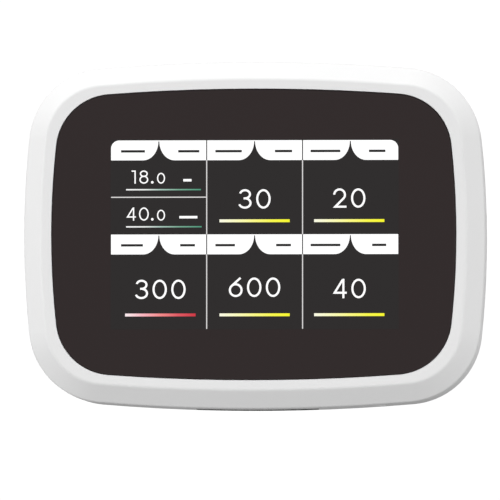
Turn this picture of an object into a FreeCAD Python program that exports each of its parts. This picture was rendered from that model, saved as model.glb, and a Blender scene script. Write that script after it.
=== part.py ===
import FreeCAD, Part
import math
import os

# Wall-mounted indoor air quality monitor with a 3.5 inch colour display.
# Millimetres. Seen from the front, +X is right and +Z is up; +Y points into the wall.
# The origin is the centre of the wall plate's rear face, and y = 0 is the wall.

V = FreeCAD.Vector

# ---- driving dimensions ---------------------------------------------------------------------
# A barrel outline: shallow arcs on the four sides, tangent to an arc at each corner.
CASE_OUTLINE = {"half_w": 58.9, "half_h": 44.3, "r_flat": 475.2, "r_side": 242.7, "r_corner": 19.4}
GLASS_OUTLINE = {"half_w": 51.6, "half_h": 37.1, "r_flat": 508.0, "r_side": 211.0, "r_corner": 14.4}

# stations along Y, from the front to the wall
FRONT_Y = -36.0            # flat front rim
GLASS_Y = -35.9            # cover glass, set back a little from the rim
GLASS_T = 1.8
ADHESIVE_T = 0.3
LEDGE_T = 1.4              # ledge that the glass is bonded to
PARTING_Y = -22.0          # rear edge of the front case
COVER_FRONT_Y = -21.6      # front edge of the rear cover, past a shadow gap
FLOOR_IN_Y = -5.1          # floor of the wall plate's pocket, inner face
FLOOR_OUT_Y = -3.3         # the same floor, outer face
PLATE_FRONT_Y = -3.0
BACK_Y = -1.0              # rear face of the rear cover

WALL_T = 2.0               # front case's wall
BEVEL_W = 4.5              # bevel around the front, seen from the front
BEVEL_D = 4.8              # the same bevel, front to back
RIM_ROUND = 1.0            # rounding between the rim and the bevel
EDGE_ROUND = 1.0           # rounding between the bevel and the side wall
INNER_BEVEL_W = 3.5        # the cavity's own bevel
INNER_BEVEL_D = 2.8
GLASS_GAP = 0.15           # gap around the glass
GLASS_CHAMFER = 0.2
LEDGE_W = 4.0
ADHESIVE_MARGIN = 0.6      # adhesive ring, inside the ledge's two edges

COVER_WALL_T = 2.4         # rear cover's wall
COVER_INSET = 0.25         # rear cover, inside the front case's outline
COVER_ROUND = 5.0          # rounding of the cover's rear edge
TONGUE_GAP = 0.15          # tongue of the rear cover, inside the front case's wall
TONGUE_T = 1.2
TONGUE_L = 1.5

LCD_W, LCD_H = 83.0, 54.6  # display module; its lit area is 73.44 x 48.96
LCD_CELL_T = 1.2
LCD_LIGHT_T = 1.4
BRACKET_T = 0.6
RIBBON_HALF_W = 12.0
RIBBON_T = 0.2

BOARD_FRONT_Y = -28.0
BOARD_T = 1.6
BOARD_INSET = 6.5          # board edge, inside the case outline

CASE_SCREWS = [(x, z) for x in (-46.6, 46.6) for z in (-31.4, 31.4)]
BOARD_SCREWS = [(x, z) for x in (-49.5, 49.5) for z in (-12.0, 12.0)]
BRACKET_SCREWS = [(x, z) for x in (-24.0, 24.0) for z in (-35.0, 35.0)]
CASE_POST_R, CASE_PILOT_R = 3.0, 1.3
BOARD_POST_R, BOARD_PILOT_R = 2.4, 0.95
BRACKET_POST_R, BRACKET_PILOT_R = 2.0, 0.85
WELL_R, WELL_WALL = 3.2, 1.3      # well that a case screw's head sits in
WELL_SEAT_Y = -4.0
WELL_STEM_R = 2.9
CASE_SCREW_HOLE_R = 1.6

VENT_ROWS = [-18.0, -14.8, -11.6, -8.4]
VENT_R = 0.8
VENT_LENGTH = 13.0
TOP_VENTS = [-32, -16, 0, 16, 32]
SIDE_VENTS = [-16, 0, 16]

WALL_SLOT_SPACING = 60.3   # screw spacing of a square flush wall box
WALL_SLOT_R = 2.1
WALL_SLOT_LENGTH = 8.2
WALL_SLOT_PAD = 3.4        # thick pad around each slot
WALL_SLOT_HEAD = 2.2       # recess for the screw's head, around the slot
WALL_SLOT_HEAD_D = 1.0

PLATE_HALF_W = 40.0
PLATE_BOTTOM, PLATE_TOP = -31.0, 34.0
PLATE_RIM = 2.2
PLATE_SKIN_BACK_Y = -0.9
LIFT = 4.5                 # how far the unit is lifted to come off its hooks
HOOK_W = 8.0
HOOK_NECK_H = 3.0
HOOK_LIP = 3.5             # how far a hook's lip stands up behind the cover's floor
HOOK_LIP_T = 1.6
HOOK_GAP = 0.3             # between a hook's lip and the cover's floor
HOOKS = [(x, z) for x in (-24.0, 24.0) for z in (-18.0, 22.0)]   # top of each hook's neck

GRILLE_HALF_W = 15.6
GRILLE_Y0, GRILLE_Y1 = -20.4, -8.6
GRILLE_PROUD = 0.08        # in front of the cover's surface
GRILLE_SUNK = 0.9          # rebate in the cover that the grille's flange lies in
GRILLE_ROUND = 1.6
GRILLE_LEDGE = 1.6         # width of the rebate's ledge
GRILLE_GAP = 0.1
GRILLE_SLOT_PITCH = 3.0
GRILLE_SLOT_HALF_W = 0.8
GRILLE_CURVE = 0.22        # rise of the curved underside, from its middle to the plug's ends
MESH_T = 0.3
MESH_HALF_W = 13.5
MESH_PITCH, MESH_HALF_HOLE = 1.5, 0.45

# footprints on the main board: left, right, bottom, top
PROCESSOR = (-7.0, 5.0, -4.0, 8.0)
MEMORY = (12.0, 20.0, -1.0, 5.0)
REGULATOR = (-24.0, -18.0, -2.0, 5.0)
WIFI_BOARD = (-9.0, 9.0, 18.5, 37.0)
WIFI_SHIELD = (-8.0, 8.0, 19.0, 32.5)
POWER_MODULE = (12.0, 46.0, 4.0, 24.0)
TERMINAL_BLOCK = (-5.6, 5.6, 4.0, 13.0)
RIBBON_SOCKET = (-14.0, 14.0, -23.5, -19.5)
CO2_BOARD = (-46.0, -12.5, 4.0, 24.0)
CO2_CHAMBER = (-44.0, -14.5, 8.5, 23.0)
HCHO_BOARD = (22.5, 46.0, -27.0, -3.5)
VOC_BOARD = (-46.0, -32.5, -18.0, -3.0)
CLIMATE_BOARD = (-36.0, -24.5, -36.0, -24.0)
CLIMATE_CHIP = (-32.0, -29.0, -28.5, -25.5)
MODULE_HEADERS = [(-45.0, -33.0, 5.0, 7.5), (-26.0, -14.0, 5.0, 7.5), (24.0, 44.0, -26.0, -23.5),
                  (-45.0, -35.0, -17.0, -14.5), (-35.0, -27.0, -35.0, -32.5)]
PM_HEADER = (-10.0, 10.0, -8.0, -5.5)

MODULE_Y0 = -24.2          # front face of the boards that the gas and climate sensors are on
CO2_WINDOWS = [-37.0, -21.5]
CO2_WINDOW_HALF_W = 4.0
CO2_WINDOW_Z0, CO2_WINDOW_Z1 = 12.0, 20.0
HCHO_X, HCHO_Z, HCHO_R = 34.2, -14.6, 9.8
VOC_X, VOC_Z, VOC_R = -39.3, -8.5, 4.6
CAPACITORS = [(-25.5, -16.0), (-25.5, -7.0)]
CAPACITOR_R, CAPACITOR_H = 3.5, 11.0

TERMINAL_H = 12.0
TERMINAL_XS = [-2.54, 2.54]
TERMINAL_Z = 9.5
TERMINAL_WELL_R, TERMINAL_WELL_D = 1.9, 5.0

PM_HALF_W = 19.0
PM_Z0, PM_Z1 = -38.0, -3.0
PM_Y0, PM_Y1 = -22.4, -10.4
PM_WALL = 1.2
PM_LID_T = 1.0
PM_ROUND = 1.5
FAN_X, FAN_Z = 5.0, -17.0
FAN_R = 10.5
FAN_HUB_R, FAN_BLADES, FAN_BLADE_T = 4.2, 9, 0.7
FAN_WELL_GAP, FAN_WELL_T = 0.9, 1.0
FAN_DISC_T = 0.8
PIN_R = 0.75
PIN_CLEARANCE = 0.05
LID_SLOT_PITCH, LID_SLOT_HALF_W, LID_SLOT_REACH = 2.6, 0.7, 8.6
LASER_X, LASER_Y, LASER_R, LASER_TIP_R = -14.0, -16.5, 2.6, 1.6
GASKET_HALF_W, GASKET_WALL = 11.0, 1.8
GASKET_Y0, GASKET_Y1 = -20.0, -10.6

BUTTON_X, BUTTON_Y = 30.0, -15.0
BUTTON_R = 3.0
BUTTON_TIP_Z = -43.25      # a little proud of the cover's surface there
BUTTON_FLANGE_Z = -40.15
BUTTON_FLANGE_T = 1.0
BUTTON_FLANGE_W = 1.2
BUTTON_ARM_HALF_W = 2.0
BUTTON_CLEARANCE = 0.15
BUTTON_TRAVEL = 0.6
PLUNGER_R = 1.2
PLUNGER_CLEARANCE = 0.1
SWITCH_Z0, SWITCH_Z1 = -37.2, -33.2
SWITCH_HALF_W, SWITCH_T = 3.0, 5.2
SWITCH_BORE = 1.4          # how far the plunger stands in the switch

GLASS_BACK_Y = GLASS_Y + GLASS_T
LEDGE_FRONT_Y = GLASS_BACK_Y + ADHESIVE_T
LEDGE_BACK_Y = LEDGE_FRONT_Y + LEDGE_T
CELL_BACK_Y = GLASS_BACK_Y + LCD_CELL_T
LIGHT_BACK_Y = CELL_BACK_Y + LCD_LIGHT_T
BRACKET_BACK_Y = LIGHT_BACK_Y + BRACKET_T
BOARD_BACK_Y = BOARD_FRONT_Y + BOARD_T
TERMINAL_BACK_Y = BOARD_BACK_Y + TERMINAL_H
SWITCH_Y = BOARD_BACK_Y + SWITCH_T / 2
PM_FLOOR_Y = PM_Y0 + PM_WALL
FAN_Y0, FAN_Y1 = PM_FLOOR_Y + 1.0, PM_Y1 - PM_LID_T - 0.8
INLET_MESH_Z = -CASE_OUTLINE["half_h"] + COVER_INSET + COVER_WALL_T + 0.5 + GRILLE_CURVE


# ---- shape helpers --------------------------------------------------------------------------
def block(x0, x1, y0, y1, z0, z1):
    return Part.makeBox(x1 - x0, y1 - y0, z1 - z0, V(x0, y0, z0))


def round_block(x0, x1, y0, y1, z0, z1, radius):
    """A block whose four edges along Y are rounded."""
    shape = block(x0, x1, y0, y1, z0, z1)
    edges = [e for e in shape.Edges if abs(e.tangentAt(e.FirstParameter).y) > 0.99]
    return shape.makeFillet(radius, edges)


def slab(footprint, y0, y1):
    """A block over a footprint: left, right, bottom, top."""
    x0, x1, z0, z1 = footprint
    return block(x0, x1, y0, y1, z0, z1)


def round_slab(footprint, y0, y1, radius):
    x0, x1, z0, z1 = footprint
    return round_block(x0, x1, y0, y1, z0, z1, radius)


def rod_y(x, z, radius, y0, y1):
    return Part.makeCylinder(radius, y1 - y0, V(x, y0, z), V(0, 1, 0))


def rod_z(x, y, radius, z0, z1):
    return Part.makeCylinder(radius, z1 - z0, V(x, y, z0), V(0, 0, 1))


def tube_y(x, z, outer, inner, y0, y1):
    return rod_y(x, z, outer, y0, y1).cut(rod_y(x, z, inner, y0, y1))


def joined(shapes):
    return shapes[0].multiFuse(shapes[1:]).removeSplitter()


def barrel_wire(outline, offset, y):
    """The barrel outline, moved outwards by offset, as eight tangent arcs in the plane at y."""
    half_w = outline["half_w"] + offset
    half_h = outline["half_h"] + offset
    r_flat = outline["r_flat"] + offset
    r_side = outline["r_side"] + offset
    r_corner = outline["r_corner"] + offset
    flat_z = half_h - r_flat          # centre of the top arc, on x = 0
    side_x = half_w - r_side          # centre of the right arc, on z = 0
    # the corner centre is r_flat - r_corner from the first and r_side - r_corner from the second
    span = math.hypot(side_x, flat_z)
    reach_flat = r_flat - r_corner
    reach_side = r_side - r_corner
    along = (reach_flat ** 2 - reach_side ** 2 + span ** 2) / (2 * span)
    across = math.sqrt(reach_flat ** 2 - along ** 2)
    unit_x, unit_z = side_x / span, -flat_z / span
    corner_x = along * unit_x + across * unit_z
    corner_z = flat_z + along * unit_z - across * unit_x
    # where the corner arc meets the top arc and the right arc, and its middle
    flat_x = corner_x * r_flat / reach_flat
    flat_end_z = flat_z + (corner_z - flat_z) * r_flat / reach_flat
    side_end_x = side_x + (corner_x - side_x) * r_side / reach_side
    side_z = corner_z * r_side / reach_side
    mid_x = flat_x + side_end_x - 2 * corner_x
    mid_z = flat_end_z + side_z - 2 * corner_z
    scale = r_corner / math.hypot(mid_x, mid_z)
    mid_x = corner_x + mid_x * scale
    mid_z = corner_z + mid_z * scale

    def arc(a, b, c):
        return Part.Arc(V(a[0], y, a[1]), V(b[0], y, b[1]), V(c[0], y, c[1])).toShape()

    edges = [arc((-flat_x, flat_end_z), (0, half_h), (flat_x, flat_end_z)),
             arc((flat_x, flat_end_z), (mid_x, mid_z), (side_end_x, side_z)),
             arc((side_end_x, side_z), (half_w, 0), (side_end_x, -side_z)),
             arc((side_end_x, -side_z), (mid_x, -mid_z), (flat_x, -flat_end_z)),
             arc((flat_x, -flat_end_z), (0, -half_h), (-flat_x, -flat_end_z)),
             arc((-flat_x, -flat_end_z), (-mid_x, -mid_z), (-side_end_x, -side_z)),
             arc((-side_end_x, -side_z), (-half_w, 0), (-side_end_x, side_z)),
             arc((-side_end_x, side_z), (-mid_x, mid_z), (-flat_x, flat_end_z))]
    return Part.Wire(edges)


def barrel(outline, offset, y0, y1):
    face = Part.Face(barrel_wire(outline, offset, y0))
    return face.extrude(V(0, y1 - y0, 0))


def edges_at(shape, y):
    """The edges that lie wholly in the plane at y."""
    near = 1e-4
    return [e for e in shape.Edges
            if abs(e.BoundBox.YMin - y) < near and abs(e.BoundBox.YMax - y) < near]


def slot_y(x, z, radius, length, y0, y1):
    """A rounded slot through Y; length is end to end, along X."""
    half = length / 2 - radius
    middle = block(x - half, x + half, y0, y1, z - radius, z + radius)
    return joined([middle, rod_y(x - half, z, radius, y0, y1), rod_y(x + half, z, radius, y0, y1)])


def screw(x, z, head_r, head_y0, head_y1, shank_r, tip_y):
    """A cross-recess pan screw along Y, driven from behind, its tip towards the front."""
    head = rod_y(x, z, head_r, head_y0, head_y1)
    head = head.makeFillet(0.35 * (head_y1 - head_y0), edges_at(head, head_y1))
    shank = rod_y(x, z, shank_r, tip_y, head_y0)
    recess_half_w = 0.14 * head_r
    recess_half_l = 0.62 * head_r
    recess_y = head_y1 - 0.55 * (head_y1 - head_y0)
    across = block(x - recess_half_l, x + recess_half_l, recess_y, head_y1,
                   z - recess_half_w, z + recess_half_w)
    upright = block(x - recess_half_w, x + recess_half_w, recess_y, head_y1,
                    z - recess_half_l, z + recess_half_l)
    return joined([head, shank]).cut(across).cut(upright)


# ---- casing ---------------------------------------------------------------------------------
def front_case():
    """Front shell: flat rim, bevel, side wall, glass seat, and the posts that hold the inside."""
    shell = barrel(CASE_OUTLINE, 0.0, FRONT_Y, PARTING_Y)
    shell = shell.makeChamfer(BEVEL_D, BEVEL_W, edges_at(shell, FRONT_Y))
    rim_half_w = max(e.BoundBox.XMax for e in edges_at(shell, FRONT_Y))
    if rim_half_w > CASE_OUTLINE["half_w"] - BEVEL_W + 0.2:
        raise ValueError("the bevel's two sides are swapped")
    shell = shell.makeFillet(RIM_ROUND, edges_at(shell, FRONT_Y))
    shell = shell.makeFillet(EDGE_ROUND, edges_at(shell, FRONT_Y + BEVEL_D))

    cavity = barrel(CASE_OUTLINE, -WALL_T, LEDGE_BACK_Y, PARTING_Y)
    cavity = cavity.makeChamfer(INNER_BEVEL_D, INNER_BEVEL_W, edges_at(cavity, LEDGE_BACK_Y))
    seat = barrel(GLASS_OUTLINE, GLASS_GAP, FRONT_Y - 1, LEDGE_FRONT_Y)
    window = barrel(GLASS_OUTLINE, -LEDGE_W, FRONT_Y - 1, LEDGE_BACK_Y + 1)
    shell = shell.cut(cavity).cut(seat).cut(window)

    root_y = LEDGE_BACK_Y - 0.5
    posts = []
    pilots = []
    for x, z in CASE_SCREWS:
        posts.append(rod_y(x, z, CASE_POST_R, root_y, PARTING_Y + 1.5))
        pilots.append(rod_y(x, z, CASE_PILOT_R, LEDGE_BACK_Y + 2, PARTING_Y + 2))
    for x, z in BOARD_SCREWS:
        posts.append(rod_y(x, z, BOARD_POST_R, root_y, BOARD_FRONT_Y))
        pilots.append(rod_y(x, z, BOARD_PILOT_R, LEDGE_BACK_Y + 0.6, BOARD_FRONT_Y))
    for x, z in BRACKET_SCREWS:
        posts.append(rod_y(x, z, BRACKET_POST_R, root_y, LIGHT_BACK_Y))
        pilots.append(rod_y(x, z, BRACKET_PILOT_R, LEDGE_BACK_Y - 0.6, LIGHT_BACK_Y))
    shell = joined([shell] + posts)
    for pilot in pilots:
        shell = shell.cut(pilot)
    return shell


def vents(along, centres, low, high):
    """Rows of rounded slots cut through a wall; along is the axis that the slots run on."""
    cuts = []
    half = VENT_LENGTH / 2 - VENT_R
    for y in VENT_ROWS:
        for c in centres:
            if along == "x":
                cuts.append(block(c - half, c + half, y - VENT_R, y + VENT_R, low, high))
                cuts.append(rod_z(c - half, y, VENT_R, low, high))
                cuts.append(rod_z(c + half, y, VENT_R, low, high))
            else:
                cuts.append(block(low, high, y - VENT_R, y + VENT_R, c - half, c + half))
                for end in (c - half, c + half):
                    cuts.append(Part.makeCylinder(VENT_R, high - low, V(low, y, end), V(1, 0, 0)))
    return cuts


def cover_tongue():
    """Ring on the cover's front edge that fits inside the front case's wall."""
    tongue_y0, tongue_y1 = PARTING_Y - TONGUE_L, COVER_FRONT_Y + 1
    tongue = barrel(CASE_OUTLINE, -WALL_T - TONGUE_GAP, tongue_y0, tongue_y1)
    tongue = tongue.cut(barrel(CASE_OUTLINE, -WALL_T - TONGUE_GAP - TONGUE_T, tongue_y0, tongue_y1))
    arm_gap = BUTTON_ARM_HALF_W + 0.8
    return tongue.cut(block(BUTTON_X - arm_gap, BUTTON_X + arm_gap, tongue_y0 - 1, tongue_y1,
                            -CASE_OUTLINE["half_h"], 0))


def cover_openings():
    """Everything cut through the rear cover: cable entry, hooks, inlet, button and vents."""
    half_w, half_h = CASE_OUTLINE["half_w"], CASE_OUTLINE["half_h"]
    reach = 6.0
    hook_gap = 0.4
    cuts = [round_block(-14, 14, FLOOR_IN_Y - 1, FLOOR_OUT_Y + 1, -2, 18, 2.0)]
    for x, z in HOOKS:
        cuts.append(block(x - HOOK_W / 2 - hook_gap, x + HOOK_W / 2 + hook_gap,
                          FLOOR_IN_Y - 1, FLOOR_OUT_Y + 1,
                          z - HOOK_NECK_H - LIFT - 0.3, z + 0.1))
    opening_half_w = GRILLE_HALF_W - GRILLE_LEDGE
    cuts.append(block(-opening_half_w, opening_half_w, GRILLE_Y0 + GRILLE_LEDGE,
                      GRILLE_Y1 - GRILLE_LEDGE, -half_h - 1, -half_h + reach))
    cuts.append(grille_flange(GRILLE_GAP, 1.0))
    cuts.append(rod_z(BUTTON_X, BUTTON_Y, BUTTON_R + BUTTON_CLEARANCE, -half_h - 1, -half_h + reach))
    cuts += vents("x", TOP_VENTS, half_h - reach, half_h + 1)
    cuts += vents("z", SIDE_VENTS, half_w - reach, half_w + 1)
    cuts += vents("z", SIDE_VENTS, -half_w - 1, -half_w + reach)
    return cuts


def rear_cover():
    """Rear shell: tongue, vents, screw wells, and the pocket that the wall plate sits in."""
    shell = barrel(CASE_OUTLINE, -COVER_INSET, COVER_FRONT_Y, BACK_Y)
    shell = shell.makeFillet(COVER_ROUND, edges_at(shell, BACK_Y))
    cavity_back_y = BACK_Y - COVER_WALL_T
    cavity = barrel(CASE_OUTLINE, -COVER_INSET - COVER_WALL_T, COVER_FRONT_Y, cavity_back_y)
    cavity = cavity.makeFillet(COVER_ROUND - COVER_WALL_T, edges_at(cavity, cavity_back_y))
    shell = shell.cut(cavity)

    pocket_gap = 0.6
    pocket_x = PLATE_HALF_W + pocket_gap
    pocket_z0 = PLATE_BOTTOM - LIFT - 0.7
    pocket_z1 = PLATE_TOP + 0.4
    tub_wall = 1.8
    tub = round_block(-pocket_x - tub_wall, pocket_x + tub_wall, FLOOR_IN_Y, BACK_Y - 0.5,
                      pocket_z0 - tub_wall, pocket_z1 + tub_wall, 6.5)
    pocket = round_block(-pocket_x, pocket_x, FLOOR_OUT_Y, BACK_Y + 1, pocket_z0, pocket_z1, 5.0)

    wells = []
    for x, z in CASE_SCREWS:
        wells.append(rod_y(x, z, WELL_R + WELL_WALL, WELL_SEAT_Y - 2.0, BACK_Y - 0.5))
        wells.append(rod_y(x, z, WELL_STEM_R, PARTING_Y + 1.6, WELL_SEAT_Y))
    shell = joined([shell, cover_tongue(), tub] + wells).cut(pocket)
    for x, z in CASE_SCREWS:
        shell = shell.cut(rod_y(x, z, WELL_R, WELL_SEAT_Y, BACK_Y + 1))
        shell = shell.cut(rod_y(x, z, CASE_SCREW_HOLE_R, PARTING_Y, BACK_Y + 1))
    for opening in cover_openings():
        shell = shell.cut(opening)
    return shell


def bottom_band(y0, y1, half_x, outside, inside):
    """A strip of the casing's bottom, between two offsets of the outline."""
    band = barrel(CASE_OUTLINE, outside, y0, y1).cut(barrel(CASE_OUTLINE, inside, y0, y1))
    return band.common(block(-half_x, half_x, y0, y1, -CASE_OUTLINE["half_h"] - 5, 0))


def grille_flange(margin, proud):
    """The inlet grille's flange, larger by margin all round; proud of the cover's surface."""
    flange = bottom_band(GRILLE_Y0 - margin, GRILLE_Y1 + margin, GRILLE_HALF_W + margin,
                         proud - COVER_INSET, -COVER_INSET - GRILLE_SUNK)
    upright = [e for e in flange.Edges if abs(e.tangentAt(e.FirstParameter).z) > 0.99]
    return flange.makeFillet(GRILLE_ROUND + margin, upright)


def bottom_grille():
    """Black air inlet insert in the underside."""
    half_h = CASE_OUTLINE["half_h"]
    inset = GRILLE_LEDGE + GRILLE_GAP
    plug = bottom_band(GRILLE_Y0 + inset, GRILLE_Y1 - inset, GRILLE_HALF_W - inset,
                       -COVER_INSET - GRILLE_SUNK, -COVER_INSET - COVER_WALL_T - 0.5)
    grille = joined([grille_flange(0.0, GRILLE_PROUD), plug])
    slot_margin = inset + 0.7
    for step in range(-4, 5):
        x = GRILLE_SLOT_PITCH * step
        grille = grille.cut(block(x - GRILLE_SLOT_HALF_W, x + GRILLE_SLOT_HALF_W,
                                  GRILLE_Y0 + slot_margin, GRILLE_Y1 - slot_margin,
                                  -half_h - 2, -half_h + 5))
    return grille


def inlet_mesh():
    """Dust screen over the grille's inner side."""
    margin = GRILLE_LEDGE + GRILLE_GAP
    mesh = block(-MESH_HALF_W, MESH_HALF_W, GRILLE_Y0 + margin, GRILLE_Y1 - margin,
                 INLET_MESH_Z, INLET_MESH_Z + MESH_T)
    middle_y = (GRILLE_Y0 + GRILLE_Y1) / 2
    holes = []
    for ix in range(-8, 9):
        for iy in range(-2, 3):
            x = MESH_PITCH * ix
            y = middle_y + MESH_PITCH * iy
            holes.append(block(x - MESH_HALF_HOLE, x + MESH_HALF_HOLE, y - MESH_HALF_HOLE,
                               y + MESH_HALF_HOLE, INLET_MESH_Z - 1, INLET_MESH_Z + 1))
    return mesh.cut(Part.makeCompound(holes))


def wall_hook(x, z):
    """One hook: a neck through the cover's floor and a lip that stands up behind it."""
    lip_back_y = FLOOR_IN_Y - HOOK_GAP
    lip_front_y = lip_back_y - HOOK_LIP_T
    neck = block(x - HOOK_W / 2, x + HOOK_W / 2, lip_back_y, PLATE_SKIN_BACK_Y, z - HOOK_NECK_H, z)
    lip = block(x - HOOK_W / 2, x + HOOK_W / 2, lip_front_y, lip_back_y,
                z - HOOK_NECK_H, z + HOOK_LIP)
    lead_in = [e for e in lip.Edges
               if abs(e.CenterOfMass.y - lip_front_y) < 1e-4
               and abs(e.CenterOfMass.z - z - HOOK_LIP) < 1e-4]
    return [neck, lip.makeChamfer(HOOK_LIP_T / 2, lead_in)]


def wall_plate():
    """Plate that is screwed to the wall box, with four hooks that the unit hangs on."""
    slots = [side * WALL_SLOT_SPACING / 2 for side in (-1, 1)]
    plate = round_block(-PLATE_HALF_W, PLATE_HALF_W, PLATE_FRONT_Y, 0, PLATE_BOTTOM, PLATE_TOP, 4.5)
    hollow = round_block(-PLATE_HALF_W + PLATE_RIM, PLATE_HALF_W - PLATE_RIM, PLATE_SKIN_BACK_Y, 1,
                         PLATE_BOTTOM + PLATE_RIM, PLATE_TOP - PLATE_RIM, 2.5)
    extras = [round_block(-19, 19, PLATE_FRONT_Y, 0, -14, 18, 4.5)]
    for x in slots:
        extras.append(slot_y(x, 0, WALL_SLOT_R + WALL_SLOT_PAD, WALL_SLOT_LENGTH + 2 * WALL_SLOT_PAD,
                             PLATE_FRONT_Y, 0))
    for x, z in HOOKS:
        extras += wall_hook(x, z)
    plate = joined([plate.cut(hollow)] + extras)
    plate = plate.cut(round_block(-17, 17, PLATE_FRONT_Y - 1, 1, -12, 16, 3.0))
    for x in slots:
        plate = plate.cut(slot_y(x, 0, WALL_SLOT_R, WALL_SLOT_LENGTH, PLATE_FRONT_Y - 1, 1))
        plate = plate.cut(slot_y(x, 0, WALL_SLOT_R + WALL_SLOT_HEAD,
                                 WALL_SLOT_LENGTH + 2 * WALL_SLOT_HEAD,
                                 PLATE_FRONT_Y - 1, PLATE_FRONT_Y + WALL_SLOT_HEAD_D))
    return plate


def rating_label():
    """Blank foil label on the pocket floor, seen through the wall plate's opening."""
    return round_block(-15, 15, FLOOR_OUT_Y, FLOOR_OUT_Y + 0.1, -11.5, -3.5, 1.0)


def case_screws():
    head_r, head_back_y, shank_r, tip_y = 2.7, -2.4, 1.2, -29.0
    return Part.makeCompound([screw(x, z, head_r, WELL_SEAT_Y, head_back_y, shank_r, tip_y)
                              for x, z in CASE_SCREWS])


# ---- display --------------------------------------------------------------------------------
def cover_glass():
    glass = barrel(GLASS_OUTLINE, 0.0, GLASS_Y, GLASS_BACK_Y)
    return glass.makeChamfer(GLASS_CHAMFER, edges_at(glass, GLASS_Y))


def glass_adhesive():
    ring = barrel(GLASS_OUTLINE, -ADHESIVE_MARGIN, GLASS_BACK_Y, LEDGE_FRONT_Y)
    return ring.cut(barrel(GLASS_OUTLINE, -LEDGE_W + ADHESIVE_MARGIN, GLASS_BACK_Y, LEDGE_FRONT_Y))


def lcd_cell():
    return block(-LCD_W / 2, LCD_W / 2, GLASS_BACK_Y, CELL_BACK_Y, -LCD_H / 2, LCD_H / 2)


def lcd_backlight():
    return block(-LCD_W / 2, LCD_W / 2, CELL_BACK_Y, LIGHT_BACK_Y, -LCD_H / 2, LCD_H / 2)


def lcd_bracket():
    """Sheet frame over the back of the display, with an ear at each of its four screws."""
    frame = round_block(-43, 43, LIGHT_BACK_Y, BRACKET_BACK_Y, -28.5, 28.5, 2.0)
    frame = frame.cut(round_block(-34, 34, LIGHT_BACK_Y - 1, BRACKET_BACK_Y + 1, -20, 20, 3.0))
    ear_r, ear_root_z, hole_r = 2.8, 27.0, 1.1
    ears = []
    for x, z in BRACKET_SCREWS:
        root_z = math.copysign(ear_root_z, z)
        ears.append(block(x - ear_r, x + ear_r, LIGHT_BACK_Y, BRACKET_BACK_Y,
                          min(root_z, z), max(root_z, z)))
        ears.append(rod_y(x, z, ear_r, LIGHT_BACK_Y, BRACKET_BACK_Y))
    frame = joined([frame] + ears)
    for x, z in BRACKET_SCREWS:
        frame = frame.cut(rod_y(x, z, hole_r, LIGHT_BACK_Y - 1, BRACKET_BACK_Y + 1))
    notch = RIBBON_HALF_W + 1.5
    return frame.cut(block(-notch, notch, LIGHT_BACK_Y - 1, BRACKET_BACK_Y + 1, -40, -24))


def bracket_screws():
    head_r, head_h, shank_r = 1.8, 1.1, 0.8
    return Part.makeCompound([screw(x, z, head_r, BRACKET_BACK_Y, BRACKET_BACK_Y + head_h, shank_r,
                                    LEDGE_BACK_Y - 0.5) for x, z in BRACKET_SCREWS])


def lcd_ribbon():
    """Flat flex that leaves the display's lower edge and turns back to the board's socket."""
    y0 = LIGHT_BACK_Y + 0.1
    y1 = BOARD_FRONT_Y - 0.6
    r_out = (y1 - y0) / 2
    mid_y = (y0 + y1) / 2
    bend_z, low_z, high_z = -28.0, -25.0, -22.0
    x0, x1 = -RIBBON_HALF_W, RIBBON_HALF_W
    outer = Part.makeCylinder(r_out, x1 - x0, V(x0, mid_y, bend_z), V(1, 0, 0))
    inner = Part.makeCylinder(r_out - RIBBON_T, x1 - x0, V(x0, mid_y, bend_z), V(1, 0, 0))
    lower = block(x0, x1, y0 - 1, y1 + 1, bend_z - 10, bend_z)
    bend = outer.cut(inner).common(lower)
    near_leg = block(x0, x1, y0, y0 + RIBBON_T, bend_z, low_z)
    far_leg = block(x0, x1, y1 - RIBBON_T, y1, bend_z, high_z)
    return joined([bend, near_leg, far_leg])


def ribbon_socket():
    y0 = BOARD_FRONT_Y - 1.2
    socket = slab(RIBBON_SOCKET, y0, BOARD_FRONT_Y)
    return socket.cut(block(-12.2, 12.2, y0 + 0.3, y0 + 0.7, -24, -21.5))


# ---- main board -----------------------------------------------------------------------------
def main_board():
    board = barrel(CASE_OUTLINE, -BOARD_INSET, BOARD_FRONT_Y, BOARD_BACK_Y)
    front, back = BOARD_FRONT_Y - 1, BOARD_BACK_Y + 1
    for x, z in CASE_SCREWS:
        board = board.cut(rod_y(x, z, CASE_POST_R + 1.0, front, back))
        board = board.cut(block(min(x, 2 * x), max(x, 2 * x), front, back,
                                min(z, 2 * z), max(z, 2 * z)))
    for x, z in BOARD_SCREWS:
        board = board.cut(rod_y(x, z, 1.2, front, back))
    return board


def board_screws():
    head_r, head_h, shank_r, tip_y = 2.0, 1.3, 0.9, -31.6
    return Part.makeCompound([screw(x, z, head_r, BOARD_BACK_Y, BOARD_BACK_Y + head_h, shank_r, tip_y)
                              for x, z in BOARD_SCREWS])


def board_chips():
    """Processor, memory and regulator on the board's front face."""
    heights = [(PROCESSOR, 1.2), (MEMORY, 1.0), (REGULATOR, 1.4)]
    return Part.makeCompound([slab(chip, BOARD_FRONT_Y - height, BOARD_FRONT_Y)
                              for chip, height in heights])


def board_capacitors():
    cans = []
    for x, z in CAPACITORS:
        can = rod_y(x, z, CAPACITOR_R, BOARD_BACK_Y, BOARD_BACK_Y + CAPACITOR_H)
        cans.append(can.makeFillet(0.6, edges_at(can, BOARD_BACK_Y + CAPACITOR_H)))
    return Part.makeCompound(cans)


def wifi_board():
    return slab(WIFI_BOARD, BOARD_BACK_Y, BOARD_BACK_Y + 0.8)


def wifi_shield():
    back_y = BOARD_BACK_Y + 3.2
    shield = round_slab(WIFI_SHIELD, BOARD_BACK_Y + 0.8, back_y, 0.8)
    return shield.makeFillet(0.3, edges_at(shield, back_y))


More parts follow.
